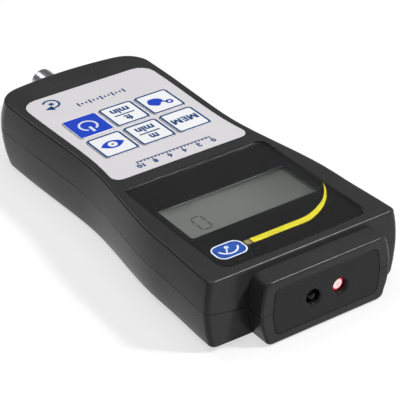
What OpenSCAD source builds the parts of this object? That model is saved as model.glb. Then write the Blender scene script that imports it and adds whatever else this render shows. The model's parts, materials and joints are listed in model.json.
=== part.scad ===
// Hand-held laser tachometer: a clamshell casing with a sensor nose, six keys, a windowed display
// and a contact spindle. The nose points to +Y, the display faces +Z and the user's right is +X.
// The origin is at the middle of the overall box, on the surface that the meter lies on.

/* [Casing] */
// Length of the casing without nose and spindle
body_l = 146; // [130:1:170]
// Total thickness of the casing
body_h = 26; // [25:0.5:30]
// Half width at the nose end, at the parting line
front_half = 37.2; // [35:0.2:42]
// Half width beside the display
display_half = 36.2; // [35:0.2:41]
// Half width at the waist beside the keys
waist_half = 30; // [28:0.2:34]
// Half width of the grip near the spindle
grip_half = 31; // [29:0.2:35]
// Distance from the nose end to where the casing starts to narrow
display_at = 28; // [22:1:32]
// Distance from the nose end to the waist
waist_at = 84; // [70:1:90]
// Distance from the nose end to the full width of the grip
grip_at = 125; // [115:1:128]
// Wall thickness of both covers
wall = 2.2; // [1.8:0.1:2.6]
// How far the sides bulge at the parting line
side_bulge = 1.6; // [0.6:0.1:2.4]
// Height of the parting line
part_z = 14.9; // [14.4:0.1:16]
// Radius of the edge round the top face
top_edge_r = 1.1; // [0.6:0.1:1.6]
// Radius of the upright corners at the nose end
front_corner_r = 1.8; // [1:0.1:3]
// Radius of the upright corners at the spindle end
end_corner_r = 10; // [6:0.5:13]
// How far the spindle end bows out between its corners
end_crown = 1.5; // [0.5:0.1:3]
// Height of the lower side edge above the resting surface
keel_h = 0.6; // [0.4:0.1:2]
// How much higher the lower edge lies at the nose end
front_rise = 1.5; // [0:0.1:3]

/* [Nose] */
// How far the nose stands out of the casing
nose_d = 7.4; // [5:0.1:12]
// Sideways place of the nose
nose_x = -2.9; // [-4:0.1:0]
// Half width of the nose
nose_half = 25; // [23:0.2:28]
// Step from the top face down to the nose's top
nose_step = 2.5; // [2:0.1:3.5]
// Height of the nose's underside
nose_bottom = 0.3; // [0.2:0.1:1]
// Height of the nose's parting line
nose_part_z = 11.9; // [11:0.1:13]
// Thickness of the end plate
plate_t = 2; // [1.5:0.1:3]
// Half width of the end plate
plate_half = 20.6; // [19.6:0.2:21.4]
// Top of the end plate
plate_top = 20.1; // [19.4:0.1:20.8]
// Underside of the end plate
plate_bottom = 3.6; // [3.2:0.1:4.2]
// Distance between the two optical holes
optics_pitch = 10.4; // [9:0.1:14]
// Radius of the two optical holes
optics_r = 2.6; // [2:0.1:3]
// Height of the optical axes
optics_z = 11.8; // [11.4:0.1:13]

/* [Display] */
// Distance from the nose end to the window
window_at = 3.2; // [2.6:0.1:5]
// Length of the window
window_l = 58; // [56:0.2:60]
// Margin between the window and the side of the casing
window_margin = 7.8; // [7:0.2:9]
// Thickness of the window
window_t = 1.2; // [0.8:0.1:1.4]
// How far the window lies below the top face
window_sunk = 0.4; // [0.2:0.1:0.6]
// Margin between the display opening and the side of the window
lcd_margin = 3.1; // [2.8:0.1:5]
// Length of the display opening
lcd_view_l = 20; // [18:0.2:22]
// Distance from the nose end to the middle of the display
lcd_at = 34.3; // [33:0.1:36]
// Thickness of the display glass
lcd_t = 2.8; // [2.4:0.1:3]

/* [Keys] */
// Width of a key
key_w = 13.4; // [11:0.1:13.6]
// Length of a key
key_l = 14.1; // [11:0.1:14.4]
// Distance between key columns
key_pitch_x = 14.7; // [14.7:0.1:15]
// Distance between key rows
key_pitch_y = 16; // [15.8:0.1:17]
// How far the keys lie ahead of the label's middle
keys_ahead = 3; // [2:0.1:5]
// Corner radius of a key
key_r = 2; // [1:0.1:3]
// How far a key stands above the label
key_proud = 0.3; // [0.1:0.1:0.6]
// Travel of a key
key_travel = 0.5; // [0.3:0.05:0.6]
// Thickness of the label
label_t = 0.3; // [0.2:0.05:0.5]
// Margin between the label and the side of the casing
label_margin = 4.2; // [3.6:0.1:4.6]
// How much wider that margin is at the spindle end
label_taper = 0.6; // [0:0.1:1.4]
// Distance from the nose end to the label
label_at = 66.4; // [66:0.1:68]
// Distance between the label and the spindle end
label_end = 15.5; // [13:0.1:18]

/* [Spindle] */
// How far the spindle stands out of the casing
spindle_out = 16; // [12:0.5:22]
// Radius of the spindle outside the casing
spindle_r = 4.5; // [4:0.1:5]
// Radius of the spindle inside the casing
shaft_r = 3; // [2.5:0.1:3.4]
// Outer radius of the bushes
bush_r = 5.5; // [5:0.1:6]
// Length of the front bush
bush_l = 8; // [6.5:0.5:8]
// Clearance round the encoder disc
disc_gap = 1.1; // [0.9:0.1:1.6]

/* [Batteries] */
// Radius of a cell
cell_r = 5.25; // [5:0.05:5.3]
// Length of a cell's can
cell_l = 43.7; // [42:0.1:44.5]
// Distance between cells
cell_pitch = 11; // [10.8:0.1:11.1]
// Distance between the battery bay and the rear bush
bay_gap = 5.9; // [4.5:0.1:7]
// Half width of the battery door
door_half = 23; // [22.6:0.1:23.4]

/* [Boards] */
// Thickness of the circuit boards
board_t = 1.6; // [1:0.1:1.8]
// Clearance between the cells and the main board
cell_roof = 0.4; // [0.3:0.1:0.8]

/* [Hidden] */
$fn = 48;

// Overrun of every cut, and the clearances of fits and of seated pieces
over = 1;
seat_gap = 0.1;
run_gap = 0.03;
screw_gap = 0.02;

// Sizes that follow the casing: label, keys, window and display opening
label_l = body_l - label_at - label_end;
keys_at = label_at + label_l / 2 - keys_ahead;
window_half = display_half - window_margin;
lcd_view_w = 2 * (window_half - lcd_margin);
nose_top = body_h - nose_step;

// Y of a place that lies a distance behind the nose end of the casing
front_y = (body_l + spindle_out - nose_d) / 2;
function behind(d) = front_y - d;

// Smooth step from 0 to 1
function ease(t) = t * t * (3 - 2 * t);
function between(a, b, t) = a + (b - a) * t;
function blend(a, b, t) = between(a, b, ease(t));

// Half width of the casing at the parting line
function half_at(d) =
  d < display_at ? blend(front_half, display_half, d / display_at)
  : d < waist_at ? blend(display_half, waist_half, (d - display_at) / (waist_at - display_at))
  : d < grip_at ? blend(waist_half, grip_half, (d - waist_at) / (grip_at - waist_at))
  : grip_half;

// One half of a plan outline, from the nose end to the spindle end. The insets are taken from the
// casing's outline at the parting line, and stretch narrows the whole width.
corner_steps = 4;
side_steps = 24;
end_steps = 8;
crown_steps = 4;
function plan_half(side, front, back, stretch = 1) =
  let (
    first = front + front_corner_r,
    flat_x = half_at(body_l - end_corner_r) - side - end_corner_r,
    tilt = atan(2 * end_crown / flat_x),
    tip_x = flat_x + end_corner_r * sin(tilt),
    bow = tip_x * tan(tilt) / 2,
    last = body_l - back - bow - end_corner_r * cos(tilt)
  )
  concat(
    [for (i = [0:corner_steps]) let (a = 90 - 90 * i / corner_steps)
      [stretch * (half_at(first) - side - front_corner_r * (1 - cos(a))),
       behind(first - front_corner_r * sin(a))]],
    [for (i = [1:side_steps - 1]) let (d = first + (last - first) * i / side_steps)
      [stretch * (half_at(d) - side), behind(d)]],
    [for (i = [0:end_steps]) let (a = (90 - tilt) * i / end_steps)
      [stretch * (flat_x + end_corner_r * cos(a)), behind(last + end_corner_r * sin(a))]],
    [for (i = [1:crown_steps]) let (t = i / (crown_steps + 0.5))
      [stretch * tip_x * (1 - t), behind(body_l - back - bow * pow(1 - t, 2))]]
  );

// Closed loop from one half and its mirror image, clockwise seen from above
function closed(half) = concat(half, [for (i = [len(half) - 1:-1:0]) [-half[i][0], half[i][1]]]);
function ring(z, side, front, back, stretch = 1) =
  [for (p = closed(plan_half(side, front, back, stretch))) [p[0], p[1], z]];

// Solid between rings that each are a half loop and its mirror image
module loft(rings) {
  n = len(rings[0]);
  m = n / 2;
  last = (len(rings) - 1) * n;
  polyhedron(
    points = [for (r = rings) each r],
    faces = concat(
      [for (j = [0:len(rings) - 2]) for (i = [0:n - 1])
        [j * n + i, j * n + (i + 1) % n, (j + 1) * n + (i + 1) % n]],
      [for (j = [0:len(rings) - 2]) for (i = [0:n - 1])
        [j * n + i, (j + 1) * n + (i + 1) % n, (j + 1) * n + i]],
      [for (i = [0:m - 2]) [last + i, last + i + 1, last + n - 2 - i, last + n - 1 - i]],
      [for (i = [0:m - 2]) [n - 1 - i, n - 2 - i, i + 1, i]]
    )
  );
}

// Inset of the barrel-shaped side at a height above or below the parting line
function bulge_up(z) = side_bulge * pow((z - part_z) / (body_h - part_z), 2);
function bulge_down(z) = side_bulge * pow((part_z - z) / (part_z - keel_h), 2);

// Outer form of the front cover
groove = 0.25;
seam = 0.12;
edge_steps = 5;
side_z_shares = [0.3, 0.55, 0.8];
edge_z = body_h - top_edge_r;
module outer_top() {
  loft(concat(
    [ring(part_z, seam, 0, seam), ring(part_z + seam, 0, 0, 0)],
    [for (s = side_z_shares) let (z = part_z + (edge_z - part_z) * s)
      ring(z, bulge_up(z), 0, bulge_up(z))],
    [for (i = [0:edge_steps]) let (
        a = 90 * i / edge_steps,
        cut = top_edge_r * (1 - cos(a)),
        bow = bulge_up(edge_z)
      )
      ring(edge_z + top_edge_r * sin(a), bow + cut, cut, bow + cut)]
  ));
}

// Inner form of the front cover
ceiling_z = body_h - wall;
module inner_top() {
  loft([for (z = [part_z - over, (part_z + ceiling_z) / 2, ceiling_z])
    let (bow = bulge_up(max(z, part_z)) + wall)
    ring(z, bow, wall, bow)]);
}

// Level in the back cover: everything under the parting line rises towards the nose end
function rise_at(d) =
  front_rise * (1 - ease(min(max((d - display_at) / (waist_at - display_at), 0), 1)));
function depth_at(d) = 1 - rise_at(d) / (part_z - keel_h);
function low_ring(z, side, front, back, stretch = 1) =
  [for (p = ring(z, side, front, back, stretch))
    [p[0], p[1], part_z - (part_z - z) * depth_at(front_y - p[1])]];

// Outer form of the back cover: barrel sides, then an underside that crowns down to a flat land
land_share = 0.4;
under_shares = [0.55, 0.7, 0.85, 0.96];
lower_shares = [0.35, 0.7];
end_lift = 4.5;
land_front = 0.4;
keel_r = 0.8;
function under_z(s) = keel_h * pow((s - land_share) / (1 - land_share), 1.5);
module outer_bottom() {
  loft(concat(
    [for (s = concat([land_share], under_shares))
      let (back = side_bulge + keel_r + end_lift * (1 - s))
      low_ring(under_z(s), side_bulge + keel_r, land_front * (1 - s), back, s)],
    [low_ring(keel_h, side_bulge + keel_r / 2, 0, side_bulge + keel_r),
     low_ring(keel_h + keel_r, bulge_down(keel_h + keel_r), 0, side_bulge)],
    [for (s = lower_shares) let (z = keel_h + (part_z - keel_h) * s)
      low_ring(z, bulge_down(z), 0, bulge_down(z))],
    [low_ring(part_z - seam, 0, 0, 0), low_ring(part_z, seam, 0, seam)]
  ));
}

// Inner form of the back cover
floor_z = keel_h + wall / 2;
module inner_bottom() {
  loft([for (z = [floor_z, (part_z + floor_z) / 2, part_z + over])
    let (bow = bulge_down(min(z, part_z)) + wall)
    low_ring(z, bow, wall, bow)]);
}

// Band inside both side walls and the end wall: the back cover's lip, and the rebate that takes it
lip_t = 1;
lip_h = 1.4;
lip_gap = 0.15;
lip_at = 2 * wall;
module lip(gap) {
  outside = wall - lip_t - gap;
  top = part_z + lip_h + gap;
  difference() {
    loft([for (z = [part_z - over, top]) ring(z, outside, outside, outside)]);
    loft([for (z = [part_z - 2 * over, top + over]) ring(z, wall, wall, wall)]);
    translate([-front_half - over, behind(lip_at - gap), part_z - 2 * over])
      cube([2 * (front_half + over), lip_at + over, lip_h + 4 * over]);
  }
}

// Half of an upright outline with barrel sides, on the -X side from its top to its underside
profile_steps = 6;
profile_corner_steps = 4;
function barrel_at(z, half, top, bottom, mid, drop_top, drop_bottom) =
  z > mid ? half - drop_top * pow((z - mid) / (top - mid), 2)
  : half - drop_bottom * pow((mid - z) / (mid - bottom), 2);
function barrel_half(half, top, bottom, mid, drop_top, drop_bottom, r_top, r_bottom) =
  let (
    top_x = barrel_at(top - r_top, half, top, bottom, mid, drop_top, drop_bottom),
    bottom_x = barrel_at(bottom + r_bottom, half, top, bottom, mid, drop_top, drop_bottom)
  )
  concat(
    [for (i = [0:profile_corner_steps]) let (a = 90 - 90 * i / profile_corner_steps)
      [-(top_x - r_top * (1 - cos(a))), top - r_top * (1 - sin(a))]],
    [for (i = [1:profile_steps - 1])
      let (z = (top - r_top) + (bottom + r_bottom - top + r_top) * i / profile_steps)
      [-barrel_at(z, half, top, bottom, mid, drop_top, drop_bottom), z]],
    [for (i = [0:profile_corner_steps]) let (a = 90 * i / profile_corner_steps)
      [-(bottom_x - r_bottom * (1 - cos(a))), bottom + r_bottom * (1 - sin(a))]]
  );

// Outline of the nose and of its end plate
nose_drop_top = 2.2;
nose_drop_bottom = 3;
nose_r_top = 2.8;
nose_r_bottom = 2.4;
nose_edge_r = 0.9;
plate_drop = 1.3;
plate_r = 2.2;
function nose_outline(inset) = closed(barrel_half(
  nose_half - inset, nose_top - inset, nose_bottom + inset, nose_part_z,
  nose_drop_top, nose_drop_bottom, nose_r_top, nose_r_bottom));
function plate_outline(gap) = closed(barrel_half(
  plate_half + gap, plate_top + gap, plate_bottom - gap, nose_part_z,
  plate_drop, plate_drop, plate_r + gap, plate_r + gap));
function nose_ring(out, inset) =
  [for (p = nose_outline(inset)) [nose_x + p[0], behind(-out), p[1]]];
module nose_form() {
  loft(concat(
    [nose_ring(-seat_gap, 0), nose_ring(nose_d - nose_edge_r, 0)],
    [for (a = [30, 60, 90])
      nose_ring(nose_d - nose_edge_r * (1 - sin(a)), nose_edge_r * (1 - cos(a)))]
  ));
}

// Solid from an upright outline, between two distances in front of the casing
module upright(from, to) {
  translate([0, behind(-to), 0]) rotate([90, 0, 0]) linear_extrude(to - from) children();
}
module rod(x, z, r, from, to) {
  translate([x, behind(-to), z]) rotate([90, 0, 0]) cylinder(h = to - from, r = r);
}

// Pocket of the end plate and hollow of the nose behind it
plate_gap = 0.2;
plate_ledge = 1.6;
module nose_hollow() {
  upright(nose_d - plate_t, nose_d + over)
    translate([nose_x, 0]) polygon(plate_outline(plate_gap));
  half = plate_half - plate_drop - plate_ledge;
  translate([nose_x - half, behind(wall + over), plate_bottom + plate_ledge])
    cube([2 * half, wall + nose_d - plate_t + 2 * over,
      plate_top - plate_bottom - 2 * plate_ledge]);
}

// The parting line dips from the casing's corners to the nose, across the front wall
function dip_line(side, lift) =
  [[side * front_half, part_z + lift], [nose_x + side * nose_half, nose_part_z + lift]];
module front_dip() {
  upright(-wall - seat_gap, over) polygon(concat(
    dip_line(1, 0), [dip_line(-1, 0)[1], dip_line(-1, 0)[0]]));
}

// Fine groove along the parting line on the front wall and round the nose
module front_seam() {
  for (side = [-1, 1]) {
    low = dip_line(side, -groove / 2);
    upright(-groove, over) polygon(concat(dip_line(side, groove / 2), [low[1], low[0]]));
    translate([nose_x + side * nose_half - groove, behind(0), nose_part_z - groove / 2])
      cube([2 * groove, nose_d + over, groove]);
  }
  translate([nose_x - nose_half - over, behind(groove - nose_d), nose_part_z - groove / 2])
    cube([2 * (nose_half + over), groove + over, groove]);
}

// Half space above or below the nose's parting line
module beyond(low, high) {
  translate([-front_half, behind(wall), low]) cube([2 * front_half, 2 * wall + nose_d, high - low]);
}

// Loop with round corners, for plates and openings
function rounded(w, l, r) = [for (c = [[1, 1, 0], [-1, 1, 90], [-1, -1, 180], [1, -1, 270]])
  for (i = [0:4]) let (a = c[2] + 90 * i / 4)
  [c[0] * (w / 2 - r) + r * cos(a), c[1] * (l / 2 - r) + r * sin(a)]];

// Outline of the window: its sides follow the flare of the casing and its front edge bows out
window_far_inset = 0.5;
window_near_inset = 0.4;
window_far_half = window_half - window_far_inset;
window_near_half = window_half - window_near_inset;
window_corner_r = 3.6;
window_bow = 0.6;
window_steps = 6;
function window_side(t) = blend(
  t < 0.5 ? window_near_half : window_half,
  t < 0.5 ? window_half : window_far_half,
  t < 0.5 ? 2 * t : 2 * t - 1);
function window_outline(gap) = closed(concat(
  [for (i = [0:2]) let (t = (i + 0.5) / 3)
    [(window_near_half - window_corner_r) * t,
     behind(window_at - gap + window_bow * t * t)]],
  [for (i = [0:4]) let (a = 90 - 90 * i / 4)
    [window_near_half + gap - window_corner_r * (1 - cos(a)),
     behind(window_at - gap + window_bow + window_corner_r * (1 - sin(a)))]],
  [for (i = [1:window_steps - 1]) let (
      t = i / window_steps,
      near = window_at + window_bow + window_corner_r,
      far = window_at + window_l - window_corner_r
    )
    [window_side(t) + gap, behind(near + (far - near) * t)]],
  [for (i = [0:4]) let (a = 90 * i / 4)
    [window_far_half + gap - window_corner_r * (1 - cos(a)),
     behind(window_at + window_l + gap - window_corner_r * (1 - sin(a)))]]
));

// Outline of the label: it keeps a margin to the casing's side
label_near_r = 3.2;
label_far_r = 6;
label_steps = 10;
function label_side(d) = half_at(d) - label_margin - label_taper * (d - label_at) / label_l;
function label_outline(gap) = closed(let (
    near = label_at + label_near_r,
    far = label_at + label_l - label_far_r
  )
  concat(
    [for (i = [0:4]) let (a = 90 - 90 * i / 4)
      [label_side(near) + gap - label_near_r * (1 - cos(a)),
       behind(label_at - gap + label_near_r * (1 - sin(a)))]],
    [for (i = [1:label_steps - 1]) let (d = near + (far - near) * i / label_steps)
      [label_side(d) + gap, behind(d)]],
    [for (i = [0:4]) let (a = 90 * i / 4)
      [label_side(far) + gap - label_far_r * (1 - cos(a)),
       behind(label_at + label_l + gap - label_far_r * (1 - sin(a)))]]
  ));

// Places of the keys, by column and row: row 0 is nearer the display
function key_place(column, row) =
  [column * key_pitch_x, behind(keys_at + (row - 0.5) * key_pitch_y)];
module each_key() {
  for (column = [-1:1]) for (row = [0:1]) translate(key_place(column, row)) children();
}

// Screw sizes and places
case_screw_x = 29.6;
case_screw_at = 7;
end_screw_x = 19.5;
end_screw_inset = 12;
end_screw_at = body_l - end_screw_inset;
screw_r = 1.2;
screw_head_r = 2.3;
screw_head_h = 1.4;
case_boss_r = 3;
screw_cover = 4.5;
case_screw_top = body_h - screw_cover;
case_head_z = 5.4;
board_boss_r = 2.2;
board_screw_r = 0.9;
board_head_r = 1.7;
board_head_h = 1.1;
board_screw_l = 4.4;
screw_near_at = 15;
screw_mid_at = 56;
board_screws_at = [screw_near_at, screw_mid_at, keys_at];
board_screw_inset = 5;
function board_screw_x(d) = half_at(d) - board_screw_inset;
module each_case_screw() {
  for (side = [-1, 1]) {
    translate([side * case_screw_x, behind(case_screw_at), 0]) children();
    translate([side * end_screw_x, behind(end_screw_at), 0]) children();
  }
}
module each_board_screw() {
  for (side = [-1, 1]) for (d = board_screws_at)
    translate([side * board_screw_x(d), behind(d), 0]) children();
}

// Channel of the battery door, and the level of the cells above it
door_t = 2.3;
door_gap = 0.2;
tongue_w = 1.4;
tongue_t = 0.9;
channel_top = door_t + tongue_t + door_gap;
cell_z = channel_top + seat_gap + cell_r;

// Levels of the main board and of the display stack
board_z = cell_z + cell_r + cell_roof;
board_top = board_z + board_t;
window_z = body_h - window_sunk - window_t;
slab_t = 1.2;
slab_z = window_z - slab_t;
view_margin = 1.2;

// Places along the casing, as distances behind its nose end: board, bushes and battery bay
board_near = 11;
board_margin = 1.8;
board_far = keys_at + (key_pitch_y + key_l) / 2 + board_margin;
bush_gap = 3;
bush_front = body_l - bush_l;
rear_bush_l = 4;
rear_bush_at = board_far + bush_gap;
bay_wall = 1.4;
bay_slack = 5;
bay_l = cell_l + bay_slack;
bay_at = rear_bush_at - bay_gap - bay_wall - bay_l;
cradle_half = 8;
cradle_floor = 4.8;
cradle_wall = 5.4;
module cradle(low, high) {
  difference() {
    for (place = [[bush_front + seat_gap, cradle_wall], [rear_bush_at, rear_bush_l]])
      translate([-cradle_half, behind(place[0] + place[1]), low])
        cube([2 * cradle_half, place[1], high - low]);
    spindle_way();
  }
}
module spindle_way() {
  rod(0, part_z, bush_r + screw_gap, -body_l - over, -rear_bush_at + over);
}

// Upper half of the casing with the nose's upper half
pilot_h = case_screw_top - part_z + over;
module front_cover() {
  color("#2b2c2e") difference() {
    union() {
      outer_top();
      intersection() {
        outer_bottom();
        front_dip();
      }
      intersection() {
        nose_form();
        beyond(nose_part_z, body_h);
      }
    }
    difference() {
      inner_top();
      each_case_screw() cylinder(h = body_h, r = case_boss_r);
      each_board_screw() translate([0, 0, board_top]) cylinder(h = body_h, r = board_boss_r);
      cradle(part_z, body_h);
      translate([0, 0, slab_z]) linear_extrude(body_h) polygon(window_outline(0));
    }
    lip(lip_gap);
    front_seam();
    nose_hollow();
    spindle_way();
    translate([0, 0, window_z]) linear_extrude(body_h) polygon(window_outline(seat_gap));
    translate([0, behind(lcd_at), slab_z - over]) linear_extrude(body_h)
      polygon(rounded(lcd_view_w + 2 * view_margin, lcd_view_l + 2 * view_margin, key_r));
    translate([0, 0, body_h - label_t]) linear_extrude(body_h) polygon(label_outline(seat_gap));
    each_key() translate([0, 0, ceiling_z - over]) linear_extrude(body_h)
      polygon(rounded(key_w + 2 * key_gap, key_l + 2 * key_gap, key_r));
    each_case_screw() translate([0, 0, part_z - over])
      cylinder(h = pilot_h, r = screw_r + screw_gap);
    each_board_screw() translate([0, 0, board_top - over])
      cylinder(h = board_screw_l, r = board_screw_r + screw_gap);
  }
}

// Lower half of the casing: door channel, battery bay, screw pillars, bearing cradles and lip
module back_cover() {
  color("#2b2c2e") difference() {
    union() {
      difference() {
        union() {
          outer_bottom();
          intersection() {
            nose_form();
            beyond(0, nose_part_z);
          }
        }
        inner_bottom();
      }
      lip(0);
      intersection() {
        union() {
          each_case_screw() cylinder(h = part_z, r = case_boss_r);
          cradle(cradle_floor, part_z);
          // Floor over the door channel and the two end walls of the bay
          translate([-front_half, behind(body_l), channel_top])
            cube([2 * front_half, body_l - bay_at - bay_l, cradle_floor - channel_top + seat_gap]);
          for (d = [bay_at, bay_at + bay_l + bay_wall])
            translate([-front_half, behind(d), 0]) cube([2 * front_half, bay_wall, part_z - over]);
          board_guides();
        }
        outer_bottom();
      }
    }
    front_dip();
    front_seam();
    nose_hollow();
    spindle_way();
    door_channel();
    each_case_screw() translate([0, 0, -over]) cylinder(h = body_h, r = screw_r + screw_gap);
    each_case_screw() translate([0, 0, -over])
      cylinder(h = over + case_head_z, r = screw_head_r + seat_gap);
    sensor_board_slot();
  }
}

// Channel in which the door slides out over the spindle end
module door_channel() {
  translate([-door_half - door_gap, behind(body_l + over), -over])
    cube([2 * (door_half + door_gap), body_l + over - bay_at, over + channel_top]);
  half = door_half + tongue_w + door_gap;
  translate([-half, behind(body_l + over), door_t])
    cube([2 * half, body_l + over - bay_at, channel_top - door_t]);
}

// Battery door: its skin follows the underside and its tongues run in the channel
grip_steps = 4;
grip_pitch = 2.2;
grip_d = 0.5;
module battery_door() {
  color("#2b2c2e") difference() {
    intersection() {
      outer_bottom();
      union() {
        translate([-door_half, behind(body_l), 0])
          cube([2 * door_half, body_l - bay_at - door_gap, door_t]);
        translate([-door_half - tongue_w, behind(body_l), door_t])
          cube([2 * (door_half + tongue_w), body_l - bay_at - door_gap, tongue_t]);
      }
    }
    // Finger grooves across the door
    for (i = [0:grip_steps - 1])
      translate([-door_half / 2, behind(bay_at + wall + (i + 1) * grip_pitch), -over])
        cube([door_half, grip_pitch / 2, over + grip_d]);
  }
}

// End plate of the nose with its two optical holes
plate_rim_r = 3.4;
plate_rim_d = 0.5;
module nose_plate() {
  color("#313234") difference() {
    upright(nose_d - plate_t, nose_d) translate([nose_x, 0]) polygon(plate_outline(0));
    for (side = [-1, 1]) {
      rod(nose_x + side * optics_pitch / 2, optics_z, optics_r, 0, nose_d + over);
      translate([nose_x + side * optics_pitch / 2, behind(-nose_d), optics_z])
        rotate([90, 0, 0]) cylinder(h = plate_rim_d, r1 = plate_rim_r, r2 = optics_r);
    }
  }
}

// Window over the display
module display_window() {
  color("#1c1d1f") translate([0, 0, window_z]) linear_extrude(window_t)
    polygon(window_outline(0));
}

// Display glass, its frame and the two contact strips
lcd_rim = 2.7;
lcd_sunk = 0.6;
lcd_w = lcd_view_w + 2 * lcd_rim;
lcd_l = lcd_view_l + 2 * lcd_rim;
frame_w = 1.4;
frame_lip = 1;
lcd_top = slab_z - lcd_sunk;
lcd_z = lcd_top - lcd_t;
strip_w = 2;
strip_inset = 1.2;
module lcd_panel() {
  color("#757b76") translate([-lcd_w / 2, behind(lcd_at) - lcd_l / 2, lcd_z])
    cube([lcd_w, lcd_l, lcd_t]);
}
module lcd_frame() {
  color("#d8dad8") difference() {
    translate([-lcd_w / 2 - frame_w, behind(lcd_at) - lcd_l / 2 - frame_w, board_top])
      cube([lcd_w + 2 * frame_w, lcd_l + 2 * frame_w, slab_z - seat_gap - board_top]);
    translate([-lcd_w / 2 - seat_gap, behind(lcd_at) - lcd_l / 2 - seat_gap, board_top - over])
      cube([lcd_w + 2 * seat_gap, lcd_l + 2 * seat_gap, lcd_top + over - board_top]);
    translate([-lcd_w / 2 + frame_lip, behind(lcd_at) - lcd_l / 2 + frame_lip, board_top])
      cube([lcd_w - 2 * frame_lip, lcd_l - 2 * frame_lip, body_h - board_top]);
  }
}
module contact_strips() {
  color("#c9a3a0") for (side = [-1, 1])
    translate([-lcd_view_w / 2,
      behind(lcd_at) + side * (lcd_l / 2 - strip_inset - strip_w / 2) - strip_w / 2, board_top])
      cube([lcd_view_w, strip_w, lcd_z - board_top]);
}

// Main board under display and keys
board_inset = 3.4;
board_steps = 12;
module main_board() {
  half = [for (i = [0:board_steps]) let (d = board_near + (board_far - board_near) * i / board_steps)
    [half_at(d) - board_inset, behind(d)]];
  color("#2f6b45") difference() {
    translate([0, 0, board_z]) linear_extrude(board_t) polygon(closed(half));
    each_board_screw() cylinder(h = body_h, r = board_screw_r + seat_gap);
  }
}

// Controller and crystal under the board, in front of the bay
chip_w = 14;
chip_t = 1.4;
chip_at = 36;
chip_lead_l = 1.2;
chip_lead_w = 0.4;
chip_leads = 10;
module processor_chip() {
  color("#222222") translate([0, behind(chip_at), board_z - chip_t]) {
    translate([-chip_w / 2, -chip_w / 2, 0]) cube([chip_w, chip_w, chip_t]);
    for (turn = [0, 90]) rotate(turn) for (i = [0:chip_leads - 1])
      translate([-chip_w / 2 - chip_lead_l, (i + 0.5 - chip_leads / 2) * chip_w / (chip_leads + 1)
        - chip_lead_w / 2, chip_t / 2])
        cube([chip_w + 2 * chip_lead_l, chip_lead_w, chip_t / 2]);
  }
}
crystal_w = 4;
crystal_l = 10;
crystal_h = 3.4;
crystal_x = 16;
module timing_crystal() {
  color("silver") translate([crystal_x, behind(chip_at), board_z - crystal_h])
    linear_extrude(crystal_h) polygon(rounded(crystal_w, crystal_l, crystal_w / 2 - seat_gap));
}

// Tactile switches on the board, one under each key
switch_w = 6;
switch_share = 0.65;
switch_button_r = 1.75;
key_gap = 0.25;
key_flange = 0.5;
key_flange_t = 0.8;
key_bottom = ceiling_z - seat_gap / 2 - key_flange_t;
switch_top = key_bottom - key_travel - seat_gap / 2;
module key_switches() {
  color("#3a3a3a") each_key() {
    translate([-switch_w / 2, -switch_w / 2, board_top])
      cube([switch_w, switch_w, (switch_top - board_top) * switch_share]);
    translate([0, 0, board_top]) cylinder(h = switch_top - board_top, r = switch_button_r);
  }
}

// Label round the keys
module keypad_label() {
  color("#e3dfe0") difference() {
    translate([0, 0, body_h - label_t]) linear_extrude(label_t) polygon(label_outline(0));
    each_key() translate([0, 0, ceiling_z]) linear_extrude(body_h)
      polygon(rounded(key_w + 2 * key_gap, key_l + 2 * key_gap, key_r));
  }
}

// Keys: a cap that stands through the label, on a flange that stops under the front cover
module key_cap(column, row) {
  translate(key_place(column, row)) {
    translate([0, 0, key_bottom]) linear_extrude(body_h + key_proud - key_bottom)
      polygon(rounded(key_w, key_l, key_r - key_gap));
    translate([0, 0, key_bottom]) linear_extrude(key_flange_t)
      polygon(rounded(key_w + 2 * key_flange, key_l + 2 * key_flange, key_r));
  }
}
module key_power() { color("#2640d8") key_cap(1, 1); }
module key_feet() { color("#f2f2f4") key_cap(0, 1); }
module key_metres() { color("#f2f2f4") key_cap(0, 0); }
module key_optical() { color("#f2f2f4") key_cap(1, 0); }
module key_contact() { color("#f2f2f4") key_cap(-1, 1); }
module key_memory() { color("#f2f2f4") key_cap(-1, 0); }

// Laser and light sensor behind the end plate, with the small board that carries them
laser_r = 3.2;
laser_l = 13;
lens_r = 3;
lens_t = 0.7;
lens_y = nose_d - plate_t - seat_gap - lens_t;
optics_back = lens_y - laser_l;
laser_x = nose_x - optics_pitch / 2;
sensor_x = nose_x + optics_pitch / 2;
sensor_board_w = 26;
sensor_board_low = 5.6;
sensor_board_high = 15.8;
guide_t = 2;
guide_d = 5;
guide_h = 11;
module lens(x) {
  bow = lens_t / 2;
  translate([x, behind(-lens_y), optics_z]) rotate([-90, 0, 0])
    rotate_extrude() polygon(concat([[0, 0], [lens_r, 0], [lens_r, lens_t - bow]],
      [for (i = [1:4]) [lens_r * (1 - i / 4), lens_t - bow + bow * sin(90 * i / 4)]]));
}
module laser_module() {
  color("#b5892f") difference() {
    rod(laser_x, optics_z, laser_r, optics_back, lens_y);
    rod(laser_x, optics_z, optics_r / 2, lens_y - laser_l / 2, lens_y + over);
  }
}
module laser_lens() { color("#d23a4a") lens(laser_x); }
module sensor_tube() {
  color("#1a1a1a") difference() {
    rod(sensor_x, optics_z, laser_r, optics_back, lens_y);
    rod(sensor_x, optics_z, optics_r - seat_gap, lens_y - laser_l / 2, lens_y + over);
  }
}
module sensor_lens() { color("#9fb4c4") lens(sensor_x); }
module sensor_board() {
  color("#2f6b45") translate([nose_x - sensor_board_w / 2, behind(board_t - optics_back),
    sensor_board_low]) cube([sensor_board_w, board_t, sensor_board_high - sensor_board_low]);
}
module board_guides() {
  for (side = [-1, 1]) translate([nose_x + side * sensor_board_w / 2 - guide_t,
    behind(board_t - optics_back) + board_t / 2 - guide_d / 2, 0])
    cube([2 * guide_t, guide_d, guide_h]);
}
module sensor_board_slot() {
  translate([nose_x - sensor_board_w / 2 - seat_gap, behind(board_t - optics_back) - seat_gap,
    sensor_board_low - seat_gap])
    cube([sensor_board_w + 2 * seat_gap, board_t + 2 * seat_gap, body_h]);
}

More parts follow.
